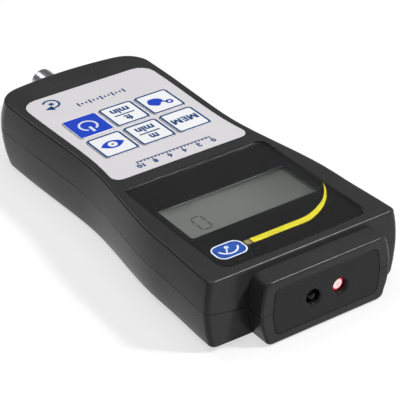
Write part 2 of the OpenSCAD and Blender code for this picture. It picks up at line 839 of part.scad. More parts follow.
// Flat lead from the sensor board to the main board
ribbon_w = 9;
ribbon_t = 0.35;
ribbon_z = 10;
ribbon_run = 7;
module ribbon_lead() {
  start = behind(board_t - optics_back);
  color("#d9d2c0") translate([nose_x - ribbon_w / 2, 0, 0]) {
    translate([0, start - ribbon_run, ribbon_z]) cube([ribbon_w, ribbon_run, ribbon_t]);
    translate([0, start - ribbon_run, ribbon_z]) cube([ribbon_w, ribbon_t, board_z - ribbon_z]);
  }
}

// Spindle, turned with a chamfered end, a grip groove and a groove for the clip
spindle_chamfer = 0.8;
shoulder_gap = 0.3;
clip_t = 0.8;
clip_groove_d = 0.5;
clip_at = bush_front - seat_gap - clip_t;
spindle_groove_r = 3.9;
spindle_groove_l = 1.2;
module spindle() {
  inner = rear_bush_at - over;
  start = body_l + shoulder_gap;
  finish = body_l + spindle_out;
  // The turned outline runs from the inner end of the shaft to the free end
  outline = [
    [0, -inner], [shaft_r, -inner],
    [shaft_r, -clip_at + seat_gap], [shaft_r - clip_groove_d, -clip_at + seat_gap],
    [shaft_r - clip_groove_d, -clip_at - clip_t - seat_gap],
    [shaft_r, -clip_at - clip_t - seat_gap],
    [shaft_r, -start], [spindle_r, -start],
    [spindle_r, -finish + spindle_chamfer], [spindle_r - spindle_chamfer, -finish],
    [0, -finish]
  ];
  color("#c9cacc") translate([0, front_y, part_z]) rotate([-90, 0, 0])
    rotate_extrude() polygon(outline);
}
clip_r = 4.6;
clip_gap_w = 3.4;
module spindle_clip() {
  color("#8f9092") difference() {
    rod(0, part_z, clip_r, -clip_at - clip_t, -clip_at);
    rod(0, part_z, shaft_r - clip_groove_d + run_gap, -clip_at - clip_t - over, -clip_at + over);
    translate([-clip_gap_w / 2, behind(clip_at + clip_t + over), part_z])
      cube([clip_gap_w, clip_t + 2 * over, clip_r + over]);
  }
}

// Slotted disc on its hub
disc_t = 0.8;
disc_share = 0.37;
disc_at = between(rear_bush_at + rear_bush_l, bush_front, disc_share);
disc_r = min(ceiling_z - part_z, part_z - cradle_floor) - disc_gap;
hub_r = 3.9;
hub_l = 4;
disc_slots = 18;
slot_w = 1.1;
slot_rim = 0.6;
slot_share = 0.48;
slot_inner_r = disc_r - slot_rim - (disc_r - slot_rim - hub_r) * slot_share;
module encoder_disc() {
  color("#4a4a4a") difference() {
    union() {
      rod(0, part_z, disc_r, -disc_at - disc_t, -disc_at);
      rod(0, part_z, hub_r, -disc_at - disc_t / 2, -disc_at + hub_l);
    }
    rod(0, part_z, shaft_r + screw_gap, -disc_at - disc_t - over, -disc_at + hub_l + over);
    for (i = [0:disc_slots - 1]) translate([0, behind(disc_at), part_z])
      rotate([0, i * 360 / disc_slots, 0])
      translate([slot_inner_r, -disc_t - over, -slot_w / 2])
      cube([disc_r - slot_rim - slot_inner_r, disc_t + 2 * over, slot_w]);
  }
}

// Slot sensor that reads the disc, on an upright board
sensor_arm_t = 1.6;
sensor_slot_w = 3;
sensor_share = 0.87;
sensor_depth = (disc_r - hub_r) * sensor_share;
sensor_base_t = 2.6;
sensor_half_h = 3;
sensor_slot_gap = 0.6;
disc_sensor_x = disc_r + sensor_slot_gap;
module encoder_sensor() {
  color("#1f1f1f") difference() {
    translate([disc_r - sensor_depth,
      behind(disc_at + disc_t / 2) - sensor_slot_w / 2 - sensor_arm_t, part_z - sensor_half_h])
      cube([sensor_depth + disc_sensor_x - disc_r + sensor_base_t,
        sensor_slot_w + 2 * sensor_arm_t, 2 * sensor_half_h]);
    translate([disc_r - sensor_depth - over, behind(disc_at + disc_t / 2) - sensor_slot_w / 2,
      part_z - sensor_half_h - over])
      cube([sensor_depth + over + disc_sensor_x - disc_r, sensor_slot_w,
        2 * (sensor_half_h + over)]);
  }
}
encoder_board_l = 12;
encoder_board_h = 15;
module encoder_board() {
  color("#2f6b45") translate([disc_sensor_x + sensor_base_t,
    behind(disc_at + disc_t / 2) - encoder_board_l / 2, cradle_floor + seat_gap])
    cube([board_t, encoder_board_l, encoder_board_h]);
}

// Bushes of the spindle
module bush(from, length) {
  color("#c08a3e") difference() {
    rod(0, part_z, bush_r, -from - length, -from);
    rod(0, part_z, shaft_r + run_gap, -from - length - over, -from + over);
  }
}
module front_bush() { bush(bush_front, bush_l); }
module rear_bush() { bush(rear_bush_at, rear_bush_l); }

// Cells, side by side with their poles turned about, and their contacts
nub_r = 1.9;
nub_l = 0.8;
cell_edge = 0.5;
contact_t = 0.4;
module cell(place) {
  flip = place % 2;
  x = (place - 1.5) * cell_pitch;
  middle = behind(bay_at + bay_l / 2);
  color(flip == 1 ? "#b9bcc0" : "#a9adb3") translate([x, middle, cell_z])
    rotate([90, 0, flip * 180])
    translate([0, 0, -cell_l / 2]) rotate_extrude() polygon([
      [0, 0], [cell_r - cell_edge, 0], [cell_r, cell_edge], [cell_r, cell_l - cell_edge],
      [cell_r - cell_edge, cell_l], [nub_r, cell_l], [nub_r, cell_l + nub_l],
      [0, cell_l + nub_l]]);
}
module battery_1() { cell(0); }
module battery_2() { cell(1); }
module battery_3() { cell(2); }
module battery_4() { cell(3); }

// Spring leaves between each end wall of the bay and the cells
contact_w = 8;
contact_h = 8;
leaf_out = (bay_l - cell_l) / 2 - nub_l - seat_gap;
module battery_contacts() {
  color("#c8c8c2") for (place = [0:3]) for (end = [0, 1])
    translate([(place - 1.5) * cell_pitch, behind(bay_at + bay_l / 2), cell_z])
    rotate(end * 180) translate([-contact_w / 2, -bay_l / 2 + seat_gap, 0])
    rotate([90, 0, 90]) linear_extrude(contact_w) polygon([
      [0, -contact_h / 2], [contact_t, -contact_h / 2], [leaf_out, 0],
      [contact_t, contact_h / 2], [0, contact_h / 2], [0, contact_h / 2 - contact_t],
      [leaf_out - 2 * contact_t, 0], [0, contact_t - contact_h / 2]]);
}

// Screws: a head with a cross slot on a plain shank
cross_w = 0.7;
cross_d = 0.7;
cross_share = 0.7;
module screw(head_r, head_h, shank_r, length) {
  difference() {
    union() {
      cylinder(h = head_h, r = head_r);
      cylinder(h = head_h + length, r = shank_r);
    }
    for (turn = [0, 90]) rotate(turn) translate([-head_r * cross_share, -cross_w / 2, -over])
      cube([2 * head_r * cross_share, cross_w, over + cross_d]);
  }
}
module case_screws() {
  color("#8a8c90") each_case_screw() translate([0, 0, case_head_z - screw_head_h - seat_gap])
    screw(screw_head_r, screw_head_h, screw_r, case_screw_top - case_head_z);
}
module board_screws() {
  color("#8a8c90") each_board_screw() translate([0, 0, board_z - board_head_h])
    screw(board_head_r, board_head_h, board_screw_r, board_t + board_screw_l - 2 * over);
}

front_cover();
back_cover();
nose_plate();
display_window();
lcd_panel();
lcd_frame();
contact_strips();
main_board();
processor_chip();
timing_crystal();
key_switches();
keypad_label();
key_power();
key_feet();
key_metres();
key_optical();
key_contact();
key_memory();
laser_module();
laser_lens();
sensor_tube();
sensor_lens();
sensor_board();
ribbon_lead();
spindle();
spindle_clip();
encoder_disc();
encoder_sensor();
encoder_board();
front_bush();
rear_bush();
battery_1();
battery_2();
battery_3();
battery_4();
battery_contacts();
battery_door();
case_screws();
board_screws();
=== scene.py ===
"""Looks of a hand-held laser tachometer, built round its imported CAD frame."""

import json
import math

import bmesh
import bpy
from bpy.props import FloatProperty, FloatVectorProperty, PointerProperty
from mathutils import Matrix, Vector


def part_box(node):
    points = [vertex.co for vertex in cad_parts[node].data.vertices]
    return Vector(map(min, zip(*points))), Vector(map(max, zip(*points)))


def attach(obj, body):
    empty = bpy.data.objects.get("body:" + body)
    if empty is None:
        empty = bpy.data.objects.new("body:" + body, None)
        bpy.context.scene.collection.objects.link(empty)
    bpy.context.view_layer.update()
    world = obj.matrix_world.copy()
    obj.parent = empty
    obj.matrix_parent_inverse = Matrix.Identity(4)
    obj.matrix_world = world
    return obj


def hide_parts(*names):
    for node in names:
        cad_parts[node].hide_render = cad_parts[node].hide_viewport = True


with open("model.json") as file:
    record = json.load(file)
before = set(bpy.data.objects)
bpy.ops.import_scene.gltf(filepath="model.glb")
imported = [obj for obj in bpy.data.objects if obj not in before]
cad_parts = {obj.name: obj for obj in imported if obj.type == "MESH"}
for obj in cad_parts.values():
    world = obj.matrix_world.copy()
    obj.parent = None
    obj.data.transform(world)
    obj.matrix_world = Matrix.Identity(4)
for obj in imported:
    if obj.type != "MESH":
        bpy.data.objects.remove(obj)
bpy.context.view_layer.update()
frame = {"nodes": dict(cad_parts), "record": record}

bl_info = {
    "name": "Laser tachometer looks",
    "version": (1, 0, 0),
    "blender": (4, 5, 0),
    "location": "3D View > Sidebar > Tachometer",
    "description": "Dresses the packed frame of a laser tachometer and lights it",
    "category": "Object",
}

NODES = frame["nodes"]
BODY_OF = {n: b for b, names in frame["record"]["behaviour"]["bodies"].items() for n in names}
MM = 0.001

# Print stands this far out of its surface, and reaches this far into it
PRINT = 0.015 * MM
SINK = 0.01 * MM
# A corner this close to a face lies on it, and points this close together are one
NEAR = 0.01 * MM
SAME_IN_FRAME = 0.002 * MM
SAME_IN_SHAPE = 0.0001 * MM
# Two faces that turn by less than this many degrees are one flat face
FLAT = 0.3
CORNER_STEPS = 6

# Most of a noise texture's values lie between these two
NOISE_LOW, NOISE_HIGH = 0.3, 0.7
PATCH_DETAIL, GRAIN_DETAIL = 4.0, 3.0
BUMP_STRENGTH = 0.5
PANE_CLEARNESS = 0.92

# The laser's glow from the lens's middle to its rim: place along the radius, and the glow there,
# near the middle as a colour and near the rim as shares of the beam's colour
GLOW_MIDDLE = ((0.0, (0.92, 0.56, 0.56)), (0.34, (0.95, 0.64, 0.64)), (0.50, (1, 0.93, 0.88)),
               (0.64, (1, 0.52, 0.52)))
GLOW_RIM = ((0.78, (0.62, 0.6, 0.8)), (0.92, (0.2, 0.08, 0.12)), (1.0, (0.12, 0.05, 0.05)))


# Sizes and colours that a user would change

def length(name, description, default, high=1.0):
    """A length whose default is in mm and whose highest value is in metres."""
    return FloatProperty(name=name, description=description, default=default * MM,
                         min=0.0, max=high, unit="LENGTH", precision=5)


def colour(name, description, default):
    return FloatVectorProperty(name=name, description=description, default=default,
                               size=3, min=0.0, max=1.0, subtype="COLOR")


class CasingLook(bpy.types.PropertyGroup):
    """Moulded casing with its battery door, and the plate in the nose"""
    plastic: colour("Plastic", "Colour of the moulded casing", (0.0400, 0.0400, 0.0404))
    # Painted shade: the plate is darker than the casing's plastic, for the shade on the nose's
    # front face.
    plate: colour("End plate", "Colour of the plate in the nose", (0.0180, 0.0180, 0.0184))
    edge: length("Edge", "Rounding along the edges of the plate in the nose", 0.22)


class WindowLook(bpy.types.PropertyGroup):
    """Display window with its print, and the display under it"""
    mask: colour("Mask", "Colour of the print round the display", (0.0040, 0.0040, 0.0044))
    stripe: colour("Stripe", "Colour of the curved stripe", (0.56, 0.50, 0.008))
    badge: colour("Badge", "Colour of the blue badge", (0.004, 0.050, 0.28))
    display: colour("Display", "Colour of the display's polariser", (0.112, 0.120, 0.111))
    view_width: length("View width", "Width of the clear part of the window", 50.4)
    view_length: length("View length", "Length of the clear part of the window", 19.7)
    view_corner: length("View corner", "Corner radius of the clear part", 0.9)
    view_from_edge: length("View from edge", "Clear part's near end, from the window's near edge",
                           16.9)


class KeypadLook(bpy.types.PropertyGroup):
    """Label film, key caps and what is printed on them"""
    film: colour("Film", "Colour of the label film", (0.74, 0.72, 0.74))
    cap: colour("Cap", "Colour of the pale key caps", (0.93, 0.94, 0.955))
    ink: colour("Ink", "Colour of the print on label and keys", (0.006, 0.056, 0.20))
    power: colour("Power", "Colour of the power key's field", (0.012, 0.060, 0.576))
    line: length("Line", "Width of the line round each key", 0.78)


class OpticsLook(bpy.types.PropertyGroup):
    """Laser outlet and light sensor"""
    beam: colour("Beam", "Colour of the laser's glow", (1.0, 0.10, 0.13))
    glow: FloatProperty(name="Glow", description="Strength of the laser's glow", default=0.92,
                        min=0.0, max=20.0)
    laser_rise: length("Laser lens rise", "How far the laser's lens bulges", 1.1)
    laser_radius: length("Laser lens radius", "Radius of the laser's lens in front of its flange",
                         2.45)
    sensor_rise: length("Sensor lens rise", "How far the sensor's lens bulges", 1.95)
    sensor_radius: length("Sensor lens radius",
                          "Radius of the sensor's lens in front of its flange", 2.0)


class StageLook(bpy.types.PropertyGroup):
    """Lamps and camera"""
    azimuth: FloatProperty(name="Azimuth", default=146.027,
                           description="Camera's direction round the object, in degrees")
    elevation: FloatProperty(name="Elevation", default=31.516,
                             description="Camera's height angle, in degrees")
    roll: FloatProperty(name="Roll", description="Camera's roll, in degrees", default=-1.134)
    distance: length("Distance", "From the camera to the point it looks at", 578.3, high=10.0)
    lens: FloatProperty(name="Lens", default=157.85,
                        description="Focal length in millimetres on a 36 mm sensor")
    target: FloatVectorProperty(name="Target", description="Point that the camera looks at",
                                size=3, default=(0.002, 0.0229, 0.0160), subtype="TRANSLATION")
    lamps: FloatProperty(name="Lamps", description="Brightness of all lamps", default=0.91,
                         min=0.0)


LOOKS = {"tachometer_casing": CasingLook, "tachometer_window": WindowLook,
         "tachometer_keypad": KeypadLook, "tachometer_optics": OpticsLook,
         "tachometer_stage": StageLook}


# Materials

def node_in(material, kind, **inputs):
    """A new node of that kind. An underscore in an input's name stands for a space."""
    node = material.node_tree.nodes.new("ShaderNode" + kind)
    for socket, value in inputs.items():
        node.inputs[socket.replace("_", " ")].default_value = value
    return node


def surface(name, tone, change=0.08, patch=70.0, rough=(0.4, 0.5), grain=2500.0, relief=0.01,
            stretch=(1, 1, 1), **sockets):
    """A finish whose tone, gloss and relief vary. Patch and grain are per metre, relief in mm."""
    material = bpy.data.materials.new(name)
    material.use_nodes = True
    links = material.node_tree.links
    shader = material.node_tree.nodes["Principled BSDF"]
    place = node_in(material, "TexCoord")
    turn = node_in(material, "Mapping", Scale=stretch)
    links.new(place.outputs["Object"], turn.inputs["Vector"])

    patches = node_in(material, "TexNoise", Scale=patch, Detail=PATCH_DETAIL)
    links.new(turn.outputs["Vector"], patches.inputs["Vector"])
    tones = node_in(material, "ValToRGB")
    darker, lighter = tones.color_ramp.elements
    darker.position, lighter.position = NOISE_LOW, NOISE_HIGH
    darker.color = [c * (1 - change) for c in tone] + [1]
    lighter.color = [min(c * (1 + change), 1) for c in tone] + [1]
    links.new(patches.outputs["Fac"], tones.inputs["Fac"])
    links.new(tones.outputs["Color"], shader.inputs["Base Color"])

    fine = node_in(material, "TexNoise", Scale=grain, Detail=GRAIN_DETAIL)
    links.new(turn.outputs["Vector"], fine.inputs["Vector"])
    gloss = node_in(material, "MapRange", From_Min=NOISE_LOW, From_Max=NOISE_HIGH,
                    To_Min=rough[0], To_Max=rough[1])
    links.new(fine.outputs["Fac"], gloss.inputs["Value"])
    links.new(gloss.outputs["Result"], shader.inputs["Roughness"])
    bump = node_in(material, "Bump", Strength=BUMP_STRENGTH, Distance=relief * MM)
    links.new(fine.outputs["Fac"], bump.inputs["Height"])
    links.new(bump.outputs["Normal"], shader.inputs["Normal"])
    for socket, value in sockets.items():
        shader.inputs[socket.replace("_", " ")].default_value = value
    return material


def clear_surface(name, tone, **sockets):
    """A clear finish that lets the lamps through to what lies under it."""
    material = surface(name, tone, change=0.01, rough=(0.02, 0.05), grain=900.0, relief=0.0001,
                       Transmission_Weight=1.0, **sockets)
    nodes, links = material.node_tree.nodes, material.node_tree.links
    ray = node_in(material, "LightPath")
    open_way = node_in(material, "BsdfTransparent", Color=[PANE_CLEARNESS] * 3 + [1])
    either = node_in(material, "MixShader")
    links.new(ray.outputs["Is Shadow Ray"], either.inputs[0])
    links.new(nodes["Principled BSDF"].outputs[0], either.inputs[1])
    links.new(open_way.outputs[0], either.inputs[2])
    links.new(either.outputs[0], nodes["Material Output"].inputs["Surface"])
    return material


def paint_shade_along_x(material, start, end, share):
    """Painted shade: the finish darkens along X, from its own tone at the start to a share of it
    at the end.
    """
    nodes, links = material.node_tree.nodes, material.node_tree.links
    socket = nodes["Principled BSDF"].inputs["Base Color"]
    tone = socket.links[0].from_socket
    place = node_in(material, "TexCoord")
    parts = node_in(material, "SeparateXYZ")
    links.new(place.outputs["Object"], parts.inputs[0])
    fall = node_in(material, "MapRange", From_Min=start, From_Max=end, To_Min=1.0, To_Max=share)
    fall.interpolation_type = "SMOOTHSTEP"
    links.new(parts.outputs["X"], fall.inputs["Value"])
    scaled = node_in(material, "VectorMath")
    scaled.operation = "SCALE"
    links.new(tone, scaled.inputs[0])
    links.new(fall.outputs["Result"], scaled.inputs["Scale"])
    links.new(scaled.outputs["Vector"], socket)


def glow_surface(name, middle, radius, tone, strength):
    """A lens with light behind it, white-hot inside and coloured towards its rim."""
    material = surface(name, tone, change=0.05, rough=(0.08, 0.15), relief=0.001)
    links = material.node_tree.links
    shader = material.node_tree.nodes["Principled BSDF"]
    place = node_in(material, "TexCoord")
    centre = node_in(material, "Mapping", Location=[-m / radius for m in middle],
                     Scale=[1 / radius] * 3)
    links.new(place.outputs["Object"], centre.inputs["Vector"])
    across = node_in(material, "VectorMath")
    across.operation = "MULTIPLY"
    across.inputs[1].default_value = (1, 0, 1)
    links.new(centre.outputs["Vector"], across.inputs[0])
    reach = node_in(material, "VectorMath")
    reach.operation = "LENGTH"
    links.new(across.outputs["Vector"], reach.inputs[0])
    fade = node_in(material, "ValToRGB")
    steps = fade.color_ramp.elements
    steps.remove(steps[1])
    glows = list(GLOW_MIDDLE)
    glows += [(at, [c * share for c, share in zip(tone, shares)]) for at, shares in GLOW_RIM]
    steps[0].position, steps[0].color = glows[0][0], (*glows[0][1], 1)
    for at, glow in glows[1:]:
        steps.new(at).color = (*glow, 1)
    links.new(reach.outputs["Value"], fade.inputs["Fac"])
    links.new(fade.outputs["Color"], shader.inputs["Emission Color"])
    shader.inputs["Emission Strength"].default_value = strength
    return material


# Shapes

def merged_copy(node):
    """The CAD node's shape with its loose triangles joined and its flat faces made whole."""
    bm = bmesh.new()
    bm.from_mesh(NODES[node].data)
    bmesh.ops.remove_doubles(bm, verts=bm.verts, dist=SAME_IN_FRAME)
    bmesh.ops.dissolve_limit(bm, angle_limit=math.radians(FLAT), verts=bm.verts, edges=bm.edges)
    return bm


def soften(bm, width, segments=2, low=35.0, top=None):
    """Rounds outer edges sharper than low degrees, or of these only those round a top face."""
    edges = [e for e in bm.edges
             if e.is_manifold and e.is_convex and e.calc_face_angle(0) > math.radians(low)
             and (top is None or all(v.co.z > top - NEAR for v in e.verts))]
    if edges:
        bmesh.ops.bevel(bm, geom=edges, offset=width, offset_type="OFFSET", affect="EDGES",
                        segments=segments, profile=0.5, material=-1, clamp_overlap=True)
    return bm


def thicken(bm, thick):
    """A flat sheet of faces becomes a closed plate, thick upwards."""
    grown = bmesh.ops.extrude_face_region(bm, geom=bm.faces[:])
    raised = [g for g in grown["geom"] if isinstance(g, bmesh.types.BMVert)]
    bmesh.ops.translate(bm, vec=(0, 0, thick), verts=raised)
    bmesh.ops.recalc_face_normals(bm, faces=bm.faces)
    return bm


def flat_card(width, long, corner, middle=(0, 0), turn=0.0):
    """A flat rectangle with rounded corners, or with sharp ones where corner is 0."""
    bm = bmesh.new()
    bmesh.ops.create_grid(bm, x_segments=1, y_segments=1, size=0.5)
    bmesh.ops.scale(bm, vec=(width, long, 1), verts=bm.verts)
    if corner:
        bmesh.ops.bevel(bm, geom=bm.verts[:], offset=corner, affect="VERTICES",
                        segments=CORNER_STEPS, profile=0.5, material=-1)
    turned = Matrix.Rotation(math.radians(turn), 3, "Z")
    bmesh.ops.rotate(bm, cent=(0, 0, 0), matrix=turned, verts=bm.verts)
    bmesh.ops.translate(bm, vec=(*middle, 0), verts=bm.verts)
    return bm


def flat_frame(width, long, corner, line, middle=(0, 0)):
    """The rim of a flat rounded rectangle."""
    bm = flat_card(width, long, corner, middle)
    inner = bm.faces[:]
    bmesh.ops.inset_region(bm, faces=inner, thickness=line, use_even_offset=True,
                           use_boundary=True)
    bmesh.ops.delete(bm, geom=inner, context="FACES")
    return bm


def flat_disc(radius, middle, segments):
    bm = bmesh.new()
    bmesh.ops.create_circle(bm, cap_ends=True, segments=segments, radius=radius)
    bmesh.ops.translate(bm, vec=(*middle, 0), verts=bm.verts)
    return bm


def flat_arc(radius, line, start, sweep, middle, steps):
    """A flat band along an arc. Start and sweep are in degrees, from +X towards +Y."""
    bm = bmesh.new()
    begin = math.radians(start)
    ends = [bm.verts.new((r * math.cos(begin), r * math.sin(begin), 0))
            for r in (radius - line, radius)]
    edge = bm.edges.new(ends)
    bmesh.ops.spin(bm, geom=ends + [edge], cent=(0, 0, 0), axis=(0, 0, 1),
                   angle=math.radians(sweep), steps=steps, use_merge=sweep >= 360)
    bmesh.ops.translate(bm, vec=(*middle, 0), verts=bm.verts)
    return bm


def flat_from(curve):
    """The flat mesh of a curve, with its points joined."""
    holder = bpy.data.objects.new(curve.name, curve)
    mesh = bpy.data.meshes.new_from_object(holder)
    bm = bmesh.new()
    bm.from_mesh(mesh)
    bpy.data.objects.remove(holder)
    bpy.data.curves.remove(curve)
    bpy.data.meshes.remove(mesh)
    bmesh.ops.remove_doubles(bm, verts=bm.verts, dist=SAME_IN_SHAPE)
    return bm


def flat_outline(loops):
    """A flat area inside smooth outlines. A point is x, y and whether the line turns sharply."""
    curve = bpy.data.curves.new("outline", "CURVE")
    curve.dimensions, curve.fill_mode, curve.resolution_u = "2D", "BOTH", 10
    for loop in loops:
        line = curve.splines.new("BEZIER")
        line.bezier_points.add(len(loop) - 1)
        line.use_cyclic_u = True
        for point, (x, y, sharp) in zip(line.bezier_points, loop):
            point.co = (x, y, 0)
            point.handle_left_type = point.handle_right_type = "VECTOR" if sharp else "AUTO"
    return flat_from(curve)


def flat_text(words, width, height, middle, weight):
    """Flat letters or digits, fitted to a width and a height about their middle."""
    curve = bpy.data.curves.new("letters", "FONT")
    curve.body, curve.resolution_u, curve.offset = words, 4, weight
    bm = flat_from(curve)
    low = Vector([min(v.co[i] for v in bm.verts) for i in range(3)])
    high = Vector([max(v.co[i] for v in bm.verts) for i in range(3)])
    fitted = (width / (high.x - low.x), height / (high.y - low.y), 1)
    bmesh.ops.translate(bm, vec=-(low + high) / 2, verts=bm.verts)
    bmesh.ops.scale(bm, vec=fitted, verts=bm.verts)
    bmesh.ops.translate(bm, vec=(*middle, 0), verts=bm.verts)
    return bm


def letter_m(width, height, line, middle):
    """A capital M, which the built-in letters can't thicken."""
    x, y = width / 2, height / 2
    shoulder, slope, tip = 1.25 * line, 1.9 * line, line / 2
    dip = -y + line / 3
    points = [(-x, -y), (line - x, -y), (line - x, y - slope), (-tip, dip), (tip, dip),
              (x - line, y - slope), (x - line, -y), (x, -y), (x, y), (x - shoulder, y),
              (0, slope - y), (shoulder - x, y), (-x, y)]
    return flat_outline([[(middle[0] + px, middle[1] + py, True) for px, py in points]])


def gathered(parts):
    """Several shapes as one."""
    whole = bmesh.new()
    for part in parts:
        mesh = bpy.data.meshes.new("part")
        part.to_mesh(mesh)
        part.free()
        whole.from_mesh(mesh)
        bpy.data.meshes.remove(mesh)
    return whole


def dome(flange, radius, rise, thick, middle, steps=40):
    """A round lens that bulges along +Y from a flange, whose front face is at the middle."""
    bm = bmesh.new()
    drop = [(0, -thick), (flange, -thick), (flange, 0), (radius, 0)]
    drop += [(radius * math.cos(math.radians(a)), rise * math.sin(math.radians(a)))
             for a in range(15, 90, 15)]
    drop += [(0, rise)]
    points = [bm.verts.new((x, y, 0)) for x, y in drop]
    edges = [bm.edges.new(pair) for pair in zip(points, points[1:])]
    bmesh.ops.spin(bm, geom=points + edges, cent=(0, 0, 0), axis=(0, 1, 0), angle=math.tau,
                   steps=steps, use_merge=True)
    bmesh.ops.remove_doubles(bm, verts=bm.verts, dist=SAME_IN_SHAPE)
    bmesh.ops.recalc_face_normals(bm, faces=bm.faces)
    bmesh.ops.translate(bm, vec=middle, verts=bm.verts)
    return bm


# Places and pieces

def places_from(x, y, up=1):
    """Gives places for distances in mm along X and Y from a point. With up=-1, Y runs back."""
    return lambda across, along: (x + across * MM, y + up * along * MM)


def outline_at(at, points, sharp=()):
    """The points at their places, each with whether the line turns sharply there."""
    return [(*at(*point), point in sharp) for point in points]


def face_of(node):
    """Lowest and highest corner of a node's flat top."""
    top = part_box(node)[1].z
    rim = [v.co for v in NODES[node].data.vertices if v.co.z > top - NEAR]
    return (Vector((min(c.x for c in rim), min(c.y for c in rim), top)),
            Vector((max(c.x for c in rim), max(c.y for c in rim), top)))


def add_piece(name, bm, material, body, replaced=(), smooth=32.0):
    """The shape becomes a piece that rides on its body and stands for the nodes it replaces."""
    mesh = bpy.data.meshes.new(name)
    bm.to_mesh(mesh)
    bm.free()
    mesh.materials.append(material)
    mesh.shade_smooth()
    mesh.set_sharp_from_angle(angle=math.radians(smooth))
    piece = bpy.data.objects.new(name, mesh)
    bpy.context.scene.collection.objects.link(piece)
    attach(piece, body)
    if replaced:
        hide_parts(*replaced)
        even = piece.modifiers.new("Even shading", "WEIGHTED_NORMAL")
        even.keep_sharp = True


def add_print(name, parts, material, body, level):
    """Print lies on the surface at that height."""
    bm = thicken(gathered(parts), PRINT + SINK)
    bmesh.ops.translate(bm, vec=(0, 0, level - SINK), verts=bm.verts)
    add_piece(name, bm, material, body)


def dress(material, *nodes):
    """CAD nodes keep their shape and take this finish."""
    for node in nodes:
        mesh = NODES[node].data
        mesh.materials.clear()
        mesh.materials.append(material)


# Operators

class TACHOMETER_OT_casing(bpy.types.Operator):
    """Moulded casing halves, battery door and the plate in the nose"""
    bl_idname = "tachometer.casing"
    bl_label = "Casing"

    def execute(self, context):
        look = context.scene.tachometer_casing
        moulded = surface("moulded casing", look.plastic, change=0.10, patch=45.0,
                          rough=(0.22, 0.29), grain=3200.0, Specular_IOR_Level=0.16)
        # The plate's darker colour is painted shade on the front face.
        plate = surface("moulded end plate", look.plate, patch=60.0, rough=(0.28, 0.36),
                        grain=3600.0, Specular_IOR_Level=0.16)
        for name, node in (("top_shell", "front_cover"), ("bottom_shell", "back_cover"),
                           ("door_panel", "battery_door")):
            add_piece(name, merged_copy(node), moulded, BODY_OF[node], [node],
                      smooth=28.0)
        end = soften(merged_copy("nose_plate"), look.edge, 3)
        add_piece("end_face", end, plate, BODY_OF["nose_plate"], ["nose_plate"])
        return {"FINISHED"}


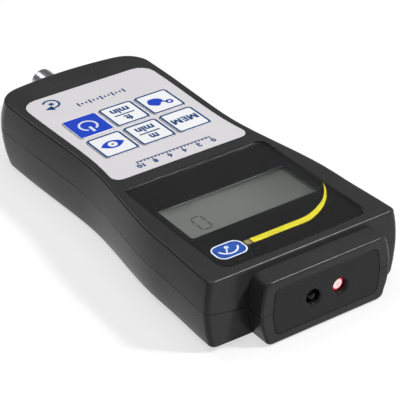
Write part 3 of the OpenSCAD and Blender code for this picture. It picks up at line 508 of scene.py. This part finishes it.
class TACHOMETER_OT_window(bpy.types.Operator):
    """Glossy window over its print: dark mask, curved stripe, bars and a plain gauge badge"""
    bl_idname = "tachometer.window"
    bl_label = "Window"

    def execute(self, context):
        look = context.scene.tachometer_window
        low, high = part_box("display_window")
        mid = (low + high) / 2
        body = BODY_OF["display_window"]
        mask_lift, mask_thick = 0.005 * MM, 0.03 * MM
        self.add_pane(low, high, body)
        self.add_mask(look, low, high, body, mask_thick, low.z + mask_lift)
        level = low.z + mask_lift + mask_thick
        at = places_from(mid.x, low.y)
        self.add_stripe(look, at, body, level)
        self.add_badge(look, at(19.5, 48.2), body, level)
        return {"FINISHED"}

    def add_pane(self, low, high, body):
        """The clear pane, whose underside is raised to make room for the print."""
        print_room, edge = 0.08 * MM, 0.05 * MM
        pane = merged_copy("display_window")
        underside = [v for v in pane.verts if v.co.z < low.z + NEAR]
        bmesh.ops.translate(pane, vec=(0, 0, print_room), verts=underside)
        soften(pane, edge, top=high.z)
        glass = clear_surface("window acrylic", (0.93, 0.93, 0.93), IOR=1.42,
                              Specular_IOR_Level=0.35)
        add_piece("window_pane", pane, glass, body, ["display_window"])

    def add_mask(self, look, low, high, body, thick, level):
        """Dark print round the view of the display."""
        mask = surface("window mask", look.mask, change=0.05, patch=40.0, rough=(0.5, 0.6),
                       relief=0.002, Specular_IOR_Level=0.05)
        inset, corner = 0.3 * MM, 2.8 * MM
        mid = (low + high) / 2
        view = Vector((mid.x, low.y + look.view_from_edge + look.view_length / 2))
        sheet = flat_card(high.x - low.x - 2 * inset, high.y - low.y - 2 * inset, corner,
                          (mid.x, mid.y))
        hole = flat_card(look.view_width, look.view_length, look.view_corner, view)
        both = gathered([sheet, hole])
        bmesh.ops.delete(both, geom=both.faces[:], context="FACES_ONLY")
        bmesh.ops.triangle_fill(both, use_beauty=True, edges=both.edges[:])
        inside = [f for f in both.faces
                  if abs(f.calc_center_median().x - view.x) < look.view_width / 2
                  and abs(f.calc_center_median().y - view.y) < look.view_length / 2]
        bmesh.ops.delete(both, geom=inside, context="FACES_ONLY")
        loose = [v for v in both.verts if not v.link_faces]
        bmesh.ops.delete(both, geom=loose, context="VERTS")
        thicken(both, thick)
        bmesh.ops.translate(both, vec=(0, 0, level), verts=both.verts)
        add_piece("window_print", both, mask, body)

    def add_stripe(self, look, at, body, level):
        """Stripe along the far edge that curves down the side, and the bars at its end."""
        yellow = surface("stripe print", look.stripe, change=0.05, patch=200.0, relief=0.002)
        gold = surface("bar print", (0.45, 0.36, 0.14), patch=300.0, rough=(0.35, 0.5),
                       relief=0.002)
        far, near, end, bend = 49.35, 46.75, 10.9, -6.0
        upper = [(end, far), (2.0, far), (bend, far), (-9.7, far), (-11.6, 49.0),
                 (-13.8, 48.15), (-16.0, 47.15), (-19.1, 45.3), (-21.35, 43.5), (-23.3, 41.65),
                 (-24.9, 39.6), (-26.7, 36.95), (-28.4, 33.2)]
        lower = [(-26.25, 36.6), (-24.3, 39.15), (-22.5, 40.95), (-20.55, 42.5), (-18.3, 43.8),
                 (-15.1, 45.4), (-13.0, 46.1), (-11.0, 46.6), (-9.5, near), (bend, near),
                 (2.0, near), (end, near)]
        line = outline_at(at, upper + lower, sharp=(upper[0], upper[-1], lower[-1]))
        add_print("accent_stripe", [flat_outline([line])], yellow, body, level)
        bar_w, bar_l, bar_pitch, bar_first = 0.28 * MM, 2.4 * MM, 0.5, 11.55
        bars = [flat_card(bar_w, bar_l, 0, at(bar_first + i * bar_pitch, (far + near) / 2))
                for i in range(4)]
        add_print("accent_bars", bars, gold, body, level)

    def add_badge(self, look, heart, body, level):
        """Blue badge with a rim and a gauge: an arc, a hub and a pointer."""
        blue = surface("badge print", look.badge, change=0.05, patch=200.0, rough=(0.3, 0.4),
                       relief=0.002)
        white = surface("badge line print", (0.72, 0.78, 0.86), change=0.03, patch=200.0,
                        rough=(0.3, 0.4), relief=0.002)
        outline = (11.2 * MM, 8.0 * MM, 3.0 * MM)
        rim, arc_r, arc_line, hub_r = 0.45 * MM, 3.9 * MM, 0.6 * MM, 0.75 * MM
        pointer = (0.5 * MM, 2.9 * MM, 0.1 * MM)
        add_print("badge_field", [flat_card(*outline, heart)], blue, body, level)
        on_dial = places_from(heart[0], heart[1] - 1.6 * MM)
        hub = on_dial(0, 0)
        marks = [flat_frame(*outline, rim, heart),
                 flat_arc(arc_r, arc_line, 15, 150, hub, 30),
                 flat_disc(hub_r, hub, 24),
                 flat_card(*pointer, on_dial(0.75, 1.3), -30)]
        add_print("badge_gauge", marks, white, body, level + PRINT)


class TACHOMETER_OT_display(bpy.types.Operator):
    """Liquid crystal glass with its polariser, and the frame and rubber strips round it"""
    bl_idname = "tachometer.display"
    bl_label = "Display"

    def execute(self, context):
        look = context.scene.tachometer_window
        low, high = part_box("lcd_panel")
        mid = (low + high) / 2
        body = BODY_OF["lcd_panel"]
        edge = surface("display glass edge", (0.115, 0.125, 0.12), patch=90.0,
                       rough=(0.12, 0.2), relief=0.002)
        film = surface("display polariser", look.display, change=0.06, patch=28.0,
                       rough=(0.3, 0.4), grain=1500.0, relief=0.003, Specular_IOR_Level=0.3)
        # Painted shade on the polariser: it darkens towards -X, for the shade that the window's
        # edge casts there.
        lit_side, shaded_side, shaded_share = 6 * MM, -26 * MM, 0.66
        paint_shade_along_x(film, mid.x + lit_side, mid.x + shaded_side, shaded_share)
        shade = surface("display rim shadow", (0.05, 0.055, 0.052), patch=120.0, rough=(0.3, 0.4),
                        relief=0.002)

        glass_edge, film_w, film_inset = 0.1 * MM, 51.4 * MM, 0.8 * MM
        film_corner, rim = 0.4 * MM, 0.3 * MM
        # The dark seal on the frame is partly painted shade, for the shadow of the mask's edge on
        # the display.
        self.add_shade_seal(low, high, body)
        glass = soften(merged_copy("lcd_panel"), glass_edge)
        add_piece("display_glass", glass, edge, body, ["lcd_panel"])
        area = (film_w, high.y - low.y - 2 * film_inset, film_corner)
        add_print("display_film", [flat_card(*area, (mid.x, mid.y))], film, body, high.z)
        # Painted shadow: a dark line round the polariser, for the shade along the film's edge.
        add_print("display_rim_shadow", [flat_frame(*area, rim, (mid.x, mid.y))], shade, body,
                  high.z + PRINT)
        self.add_digit(look, places_from(mid.x, mid.y), body, high.z + PRINT)

        dress(surface("frame plastic", (0.62, 0.63, 0.62), patch=90.0, rough=(0.45, 0.6)),
              "lcd_frame")
        dress(surface("contact rubber", (0.45, 0.22, 0.20), change=0.15, patch=1500.0,
                      rough=(0.6, 0.8), grain=4000.0, relief=0.02, stretch=(1, 0.1, 0.1)),
              "contact_strips")
        return {"FINISHED"}

    def add_shade_seal(self, low, high, body):
        """Dark seal on the frame, which reaches a little over the glass; its dark also stands in
        for the shade that the mask's edge casts on the display there.
        """
        seal = surface("display shade seal", (0.006, 0.006, 0.006), change=0.1, patch=200.0,
                       rough=(0.6, 0.8), Specular_IOR_Level=0.1)
        lap, corner = 1.0 * MM, 0.3 * MM
        frame_low, frame_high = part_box("lcd_frame")
        frame_w, frame_l = frame_high.x - frame_low.x, frame_high.y - frame_low.y
        line = (frame_w - (high.x - low.x) + 2 * lap) / 2
        middle = ((low.x + high.x) / 2, (low.y + high.y) / 2)
        add_print("display_shade_seal", [flat_frame(frame_w, frame_l, corner, line, middle)], seal,
                  body, frame_high.z)

    def add_digit(self, look, at, body, level):
        """A faint nought of two level and four upright segments."""
        tone = [c * 0.45 for c in look.display]
        ghost = surface("display segment", tone, change=0.05, patch=60.0, relief=0.002,
                        Specular_IOR_Level=0.15)
        x, y, half = 16.0, 1.2, 1.95
        level_l, upright_l, segment_w, segment_corner = 3.0 * MM, 3.1 * MM, 0.7 * MM, 0.3 * MM
        digit = [flat_card(level_l, segment_w, segment_corner, at(x, y + up))
                 for up in (2 * half, -2 * half)]
        digit += [flat_card(upright_l, segment_w, segment_corner, at(x + side, y + up), 90)
                  for up in (half, -half) for side in (-half, half)]
        add_print("display_digit", digit, ghost, body, level)


class TACHOMETER_OT_label(bpy.types.Operator):
    """Label film with a plain scale, ticks and a turning arrow"""
    bl_idname = "tachometer.label"
    bl_label = "Label"

    def execute(self, context):
        look = context.scene.tachometer_keypad
        low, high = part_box("keypad_label")
        mid = (low + high) / 2
        body = BODY_OF["keypad_label"]
        film = surface("label film", look.film, change=0.02, patch=25.0, rough=(0.38, 0.5),
                       grain=2600.0, relief=0.006, Specular_IOR_Level=0.35)
        ink = surface("label ink", look.ink, change=0.06, patch=300.0, relief=0.002)
        edge = 0.08 * MM
        sheet = soften(merged_copy("keypad_label"), edge, top=high.z)
        add_piece("label_film", sheet, film, body, ["keypad_label"])
        at = places_from(mid.x, high.y, up=-1)
        add_print("label_scale", self.scale(at), ink, body, high.z)
        add_print("label_ticks", self.ticks(at), ink, body, high.z)
        add_print("label_turning_arrow", self.arrow(at(16.9, 58.2)), ink, body, high.z)
        return {"FINISHED"}

    def scale(self, at):
        """A line with 21 marks and a number at each fourth, counted in twos."""
        first, pitch, base = -14.55, 1.455, 6.55
        line_l, line_w, mark_w = 29.5 * MM, 0.5 * MM, 0.48 * MM
        long_mark, short_mark = 1.5, 0.9
        number_at, number_h, weight = 3.75, 2.3 * MM, 0.055
        wide_number, narrow_number = 2.9 * MM, 1.65 * MM
        parts = [flat_card(line_l, line_w, 0, at(0, base))]
        for i in range(21):
            tall = long_mark if i % 4 == 0 else short_mark
            parts.append(flat_card(mark_w, tall * MM, 0, at(first + i * pitch, base - tall / 2)))
        for i in range(6):
            width = wide_number if i == 5 else narrow_number
            parts.append(flat_text(str(2 * i), width, number_h,
                                   at(first + 4 * i * pitch, number_at), weight))
        return parts

    def ticks(self, at):
        """A row of 13 ticks, each third one long."""
        first, pitch, row = -9.3, 1.55, 52.1
        width, corner = 0.7 * MM, 0.1 * MM
        long_tick, short_tick = 2.7 * MM, 1.2 * MM
        return [flat_card(width, short_tick if i % 3 else long_tick, corner,
                          at(first + i * pitch, row)) for i in range(13)]

    def arrow(self, hub):
        """Three quarters of a ring with an arrow head, round a hub."""
        ring_r, ring_line, hub_r = 3.3 * MM, 0.85 * MM, 0.95 * MM
        head = ((0.6, 4.5), (3.9, 2.6), (0.6, 1.1))
        return [flat_arc(ring_r, ring_line, 60, 270, hub, 40), flat_disc(hub_r, hub, 28),
                flat_outline([outline_at(places_from(*hub), head, sharp=head)])]


class TACHOMETER_OT_keys(bpy.types.Operator):
    """Six key caps with their borders and legends"""
    bl_idname = "tachometer.keys"
    bl_label = "Keys"

    def execute(self, context):
        look = context.scene.tachometer_keypad
        cap = surface("key cap", look.cap, change=0.02, patch=60.0, rough=(0.35, 0.46),
                      grain=2600.0, relief=0.004, Specular_IOR_Level=0.35)
        ink = surface("key ink", look.ink, change=0.06, patch=300.0, relief=0.002)
        strong = surface("key legend ink", look.power, change=0.05, patch=200.0, relief=0.002)
        legends = {"feet": (self.feet, ink), "metres": (self.metres, ink),
                   "optical": (self.eye, strong), "contact": (self.wheel_and_hand, strong),
                   "memory": (self.memory, ink)}
        edge, border_corner, pupil_r = 0.08 * MM, 1.45 * MM, 0.5 * MM
        margin = 2 * edge + 0.02 * MM
        for word in ("power", "feet", "metres", "optical", "contact", "memory"):
            node = "key_" + word
            body = BODY_OF[node]
            low, high = face_of(node)
            mid = (low + high) / 2
            printed = (high.x - low.x - margin, high.y - low.y - margin)
            at = places_from(mid.x, mid.y)
            shape = soften(merged_copy(node), edge, 3, top=high.z)
            add_piece("cap_" + word, shape, cap, body, [node])
            if word == "power":
                self.add_power_print(look, printed, at, body, high.z)
                continue
            border = flat_frame(*printed, border_corner, look.line, (mid.x, mid.y))
            add_print("border_" + word, [border], ink, body, high.z)
            legend, tone = legends[word]
            add_print("legend_" + word, legend(at), tone, body, high.z)
            if word == "optical":
                add_print("pupil_optical", [flat_disc(pupil_r, at(0, 0), 20)], ink, body, high.z)
        return {"FINISHED"}

    def add_power_print(self, look, printed, at, body, level):
        """Blue field with a pale sign: an open ring and a stroke."""
        blue = surface("power field", look.power, change=0.04, patch=90.0, rough=(0.38, 0.48),
                       relief=0.004)
        pale = surface("power sign", (0.80, 0.84, 0.92), change=0.02, patch=200.0,
                       relief=0.002)
        side, end, corner = 0.3 * MM, 0.7 * MM, 0.9 * MM
        ring_r, ring_line, stroke = 3.6 * MM, 0.8 * MM, (1.05 * MM, 3.7 * MM, 0.15 * MM)
        area = flat_card(printed[0] - side, printed[1] - end, corner, at(0, 0))
        add_print("field_power", [area], blue, body, level)
        sign = [flat_arc(ring_r, ring_line, 118, 304, at(0, 0.2), 56),
                flat_card(*stroke, at(0, 2.95))]
        add_print("sign_power", sign, pale, body, level + PRINT)

    def memory(self, at):
        """Short word for memory, its two outer letters alike."""
        m_w, e_w, tall, line, weight = 3.7 * MM, 2.0 * MM, 3.5 * MM, 0.84 * MM, 0.04
        side, base = 3.25, -0.2
        letters = [letter_m(m_w, tall, line, at(x, base)) for x in (-side, side)]
        return letters + [flat_text("E", e_w, tall, at(0, base), weight)]

    def per_minute(self, at, unit):
        """A unit over a line over the word for a minute."""
        line, word, weight = (8.1 * MM, 0.7 * MM), (7.2 * MM, 3.6 * MM), 0.042
        return [unit, flat_card(*line, 0, at(0, 0.3)),
                flat_text("min", *word, at(0, -2.55), weight)]

    def metres(self, at):
        """Metres in a minute."""
        return self.per_minute(at, flat_text("m", 3.2 * MM, 2.85 * MM, at(0, 3.0), 0.042))

    def feet(self, at):
        """Feet in a minute."""
        return self.per_minute(at, flat_text("ft", 2.7 * MM, 3.6 * MM, at(0, 3.2), 0.044))

    def eye(self, at):
        """An eye, open where the iris is."""
        half_w, half_h, lid_w, lid_h, iris_r = 4.6, 2.55, 2.4, 1.85, 1.7
        corners = ((-half_w, 0), (half_w, 0))
        outer = [corners[0], (-lid_w, lid_h), (0, half_h), (lid_w, lid_h),
                 corners[1], (lid_w, -lid_h), (0, -half_h), (-lid_w, -lid_h)]
        iris = [(iris_r * math.cos(math.tau * i / 8), iris_r * math.sin(math.tau * i / 8))
                for i in range(8)]
        return [flat_outline([outline_at(at, outer, sharp=corners), outline_at(at, iris)])]

    def wheel_and_hand(self, at):
        """A small wheel on a neck, held by a rounded hand."""
        wheel_r, wheel_line, neck = 1.45 * MM, 0.85 * MM, (2.2 * MM, 0.95 * MM)
        hand = [(-1.4, -0.2), (0.1, 1.2), (1.65, 2.5), (3.2, 1.6), (4.4, 0.2), (4.1, -1.4),
                (3.4, -2.6), (1.9, -3.0), (0.3, -2.7), (-1.1, -1.6)]
        return [flat_arc(wheel_r, wheel_line, 0, 360, at(-3.0, 1.9), 32),
                flat_card(*neck, 0, at(-1.55, 0.95), -32),
                flat_outline([outline_at(at, hand)])]


class TACHOMETER_OT_optics(bpy.types.Operator):
    """Laser and light sensor behind the nose plate"""
    bl_idname = "tachometer.optics"
    bl_label = "Optics"

    def execute(self, context):
        look = context.scene.tachometer_optics
        low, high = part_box("laser_lens")
        glow = glow_surface("laser glow", (low + high) / 2, look.laser_radius, look.beam,
                            look.glow)
        dark = surface("sensor glass", (0.0015, 0.0015, 0.002), change=0.1, patch=300.0,
                       rough=(0.04, 0.07), relief=0.001, Specular_IOR_Level=0.2)
        self.add_lens("laser_lens", "laser_window", look.laser_radius, look.laser_rise, glow,
                      "laser_glass")
        self.add_lens("sensor_lens", "sensor_window", look.sensor_radius, look.sensor_rise, dark,
                      "sensor_glass")
        dress(surface("turned brass", (0.55, 0.38, 0.15), patch=120.0, rough=(0.2, 0.32),
                      relief=0.006, stretch=(1, 0.05, 1), Metallic=1.0), "laser_module")
        dress(surface("tube plastic", (0.02, 0.02, 0.02), rough=(0.4, 0.55)), "sensor_tube")
        return {"FINISHED"}

    def add_lens(self, node, name, radius, rise, material, slot):
        """A domed lens whose flange fills the back half of the node."""
        low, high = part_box(node)
        thick = (high.y - low.y) / 2
        front = ((low.x + high.x) / 2, low.y + thick, (low.z + high.z) / 2)
        shape = dome((high.x - low.x) / 2, radius, rise, thick, front)
        add_piece(name, shape, material, BODY_OF[node], [node])


class TACHOMETER_OT_spindle(bpy.types.Operator):
    """Contact spindle with its bearings, ring and slotted disc"""
    bl_idname = "tachometer.spindle"
    bl_label = "Spindle"

    def execute(self, context):
        steel = surface("turned steel", (0.66, 0.66, 0.67), change=0.04, patch=500.0,
                        rough=(0.30, 0.38), grain=2600.0, relief=0.002, stretch=(0.08, 1, 0.08),
                        Metallic=1.0)
        edge = 0.2 * MM
        shaft = soften(merged_copy("spindle"), edge, 3, low=40.0)
        add_piece("contact_shaft", shaft, steel, BODY_OF["spindle"], ["spindle"])
        dress(surface("stamped spring steel", (0.36, 0.36, 0.37), change=0.1, patch=400.0,
                      rough=(0.25, 0.4), relief=0.006, Metallic=1.0),
              "spindle_clip", "encoder_disc")
        dress(surface("sintered bronze", (0.45, 0.28, 0.11), change=0.15, patch=900.0,
                      rough=(0.3, 0.5), grain=5000.0, relief=0.02, Metallic=1.0),
              "front_bush", "rear_bush")
        return {"FINISHED"}


class TACHOMETER_OT_inside(bpy.types.Operator):
    """Boards, their components, the ribbon, the cells, contacts and screws"""
    bl_idname = "tachometer.inside"
    bl_label = "Inside"

    def execute(self, context):
        dress(surface("solder mask", (0.02, 0.13, 0.05), change=0.2, patch=400.0,
                      rough=(0.25, 0.4), grain=1500.0, relief=0.02),
              "main_board", "sensor_board", "encoder_board")
        dress(surface("moulded epoxy", (0.02, 0.02, 0.021), change=0.12, patch=500.0,
                      rough=(0.45, 0.6), relief=0.012),
              "processor_chip", "key_switches", "encoder_sensor")
        dress(surface("drawn can", (0.66, 0.66, 0.67), patch=300.0, rough=(0.15, 0.3),
                      relief=0.004, Metallic=1.0), "timing_crystal")
        dress(surface("ribbon lead", (0.58, 0.55, 0.48), change=0.12, patch=900.0,
                      rough=(0.4, 0.55), grain=1200.0, relief=0.05, stretch=(1, 0.05, 0.05)),
              "ribbon_lead")
        dress(surface("cell jacket", (0.42, 0.44, 0.47), patch=90.0, rough=(0.22, 0.34),
                      relief=0.006, Metallic=1.0),
              "battery_1", "battery_2", "battery_3", "battery_4")
        dress(surface("nickel plate", (0.58, 0.57, 0.53), patch=300.0, rough=(0.18, 0.3),
                      relief=0.004, Metallic=1.0), "battery_contacts")
        dress(surface("zinc plated steel", (0.34, 0.35, 0.37), change=0.12, patch=500.0,
                      rough=(0.28, 0.42), relief=0.006, Metallic=1.0),
              "case_screws", "board_screws")
        return {"FINISHED"}


class TACHOMETER_OT_stage(bpy.types.Operator):
    """Pale floor, soft lamps and the camera"""
    bl_idname = "tachometer.stage"
    bl_label = "Stage"

    def execute(self, context):
        look = context.scene.tachometer_stage
        context.scene.view_settings.view_transform = "Standard"
        self.add_floor(context.scene)
        self.add_light(context.scene, look.lamps)
        self.add_camera(context.scene, look)
        return {"FINISHED"}

    def add_floor(self, scene):
        half_width = 4.0
        bm = bmesh.new()
        bmesh.ops.create_grid(bm, x_segments=1, y_segments=1, size=half_width)
        mesh = bpy.data.meshes.new("floor")
        bm.to_mesh(mesh)
        bm.free()
        mesh.materials.append(self.floor_paint())
        floor = bpy.data.objects.new("floor", mesh)
        scene.collection.objects.link(floor)

    def floor_paint(self):
        """White paint that stays white where it is seen, and keeps the object's shadow."""
        lift = 0.65
        material = surface("floor paint", (0.38, 0.38, 0.38), change=0.01, patch=3.0,
                           rough=(0.6, 0.7), grain=300.0, Specular_IOR_Level=0.2)
        nodes, links = material.node_tree.nodes, material.node_tree.links
        ray = node_in(material, "LightPath")
        either, seen, raised = (node_in(material, "Math") for _ in range(3))
        either.operation = seen.operation = "MAXIMUM"
        raised.operation = "MULTIPLY"
        raised.inputs[1].default_value = lift
        shine = node_in(material, "Emission")
        links.new(ray.outputs["Is Camera Ray"], either.inputs[0])
        links.new(ray.outputs["Is Glossy Ray"], either.inputs[1])
        links.new(either.outputs[0], seen.inputs[0])
        links.new(ray.outputs["Is Transmission Ray"], seen.inputs[1])
        links.new(seen.outputs[0], raised.inputs[0])
        links.new(raised.outputs[0], shine.inputs["Strength"])
        both = node_in(material, "AddShader")
        links.new(nodes["Principled BSDF"].outputs[0], both.inputs[0])
        links.new(shine.outputs[0], both.inputs[1])
        links.new(both.outputs[0], nodes["Material Output"].inputs["Surface"])
        return material

    def add_light(self, scene, brightness):
        """Each lamp has a place, a size in metres and its watts, and points at the origin."""
        sky_tone, sky = (0.96, 0.97, 1.0, 1), 0.125
        lamps = {"top lamp": ((0.1, 0.0, 1.4), 1.2, 8.5),
                 "key lamp": ((-0.72, 0.78, 1.06), 0.18, 17.5),
                 "rear lamp": ((0.30, -1.12, 0.94), 0.3, 2.5)}
        world = bpy.data.worlds.new("studio")
        scene.world = world
        world.use_nodes = True
        background = world.node_tree.nodes["Background"]
        background.inputs["Color"].default_value = sky_tone
        background.inputs["Strength"].default_value = sky * brightness
        for name, (place, size, watts) in lamps.items():
            data = bpy.data.lights.new(name, "AREA")
            data.shape, data.size, data.energy = "SQUARE", size, watts * brightness
            lamp = bpy.data.objects.new(name, data)
            lamp.location = place
            lamp.rotation_euler = Vector(place).to_track_quat("Z", "Y").to_euler()
            scene.collection.objects.link(lamp)

    def add_camera(self, scene, look):
        """The camera stands back from its target along its azimuth and elevation, then rolls."""
        azimuth, elevation = math.radians(look.azimuth), math.radians(look.elevation)
        roll = math.radians(look.roll)
        back = Vector((math.sin(azimuth) * math.cos(elevation),
                       -math.cos(azimuth) * math.cos(elevation), math.sin(elevation)))
        right = Vector((0, 0, 1)).cross(back).normalized()
        up = back.cross(right)
        across = right * math.cos(roll) + up * math.sin(roll)
        upward = up * math.cos(roll) - right * math.sin(roll)
        data = bpy.data.cameras.new("camera")
        data.lens, data.sensor_width, data.clip_start = look.lens, 36.0, 0.01
        camera = bpy.data.objects.new("camera", data)
        turn = Matrix((across, upward, back)).transposed().to_4x4()
        place = Vector(look.target) + back * look.distance
        camera.matrix_world = Matrix.Translation(place) @ turn
        scene.collection.objects.link(camera)
        scene.camera = camera


OPERATORS = (TACHOMETER_OT_casing, TACHOMETER_OT_window, TACHOMETER_OT_display,
             TACHOMETER_OT_label, TACHOMETER_OT_keys, TACHOMETER_OT_optics,
             TACHOMETER_OT_spindle, TACHOMETER_OT_inside, TACHOMETER_OT_stage)


class TACHOMETER_PT_panel(bpy.types.Panel):
    """Lists the pieces of the tachometer"""
    bl_label = "Tachometer"
    bl_idname = "TACHOMETER_PT_panel"
    bl_space_type = "VIEW_3D"
    bl_region_type = "UI"
    bl_category = "Tachometer"

    def draw(self, context):
        for operator in OPERATORS:
            self.layout.operator(operator.bl_idname)


def register():
    for group in LOOKS.values():
        bpy.utils.register_class(group)
    for name, group in LOOKS.items():
        setattr(bpy.types.Scene, name, PointerProperty(type=group))
    for operator in OPERATORS:
        bpy.utils.register_class(operator)
    bpy.utils.register_class(TACHOMETER_PT_panel)


def unregister():
    bpy.utils.unregister_class(TACHOMETER_PT_panel)
    for operator in reversed(OPERATORS):
        bpy.utils.unregister_class(operator)
    for name in LOOKS:
        delattr(bpy.types.Scene, name)
    for group in LOOKS.values():
        bpy.utils.unregister_class(group)


def main():
    register()
    bpy.ops.tachometer.casing()
    bpy.ops.tachometer.window()
    bpy.ops.tachometer.display()
    bpy.ops.tachometer.label()
    bpy.ops.tachometer.keys()
    bpy.ops.tachometer.optics()
    bpy.ops.tachometer.spindle()
    bpy.ops.tachometer.inside()
    bpy.ops.tachometer.stage()


if __name__ == "__main__":
    main()
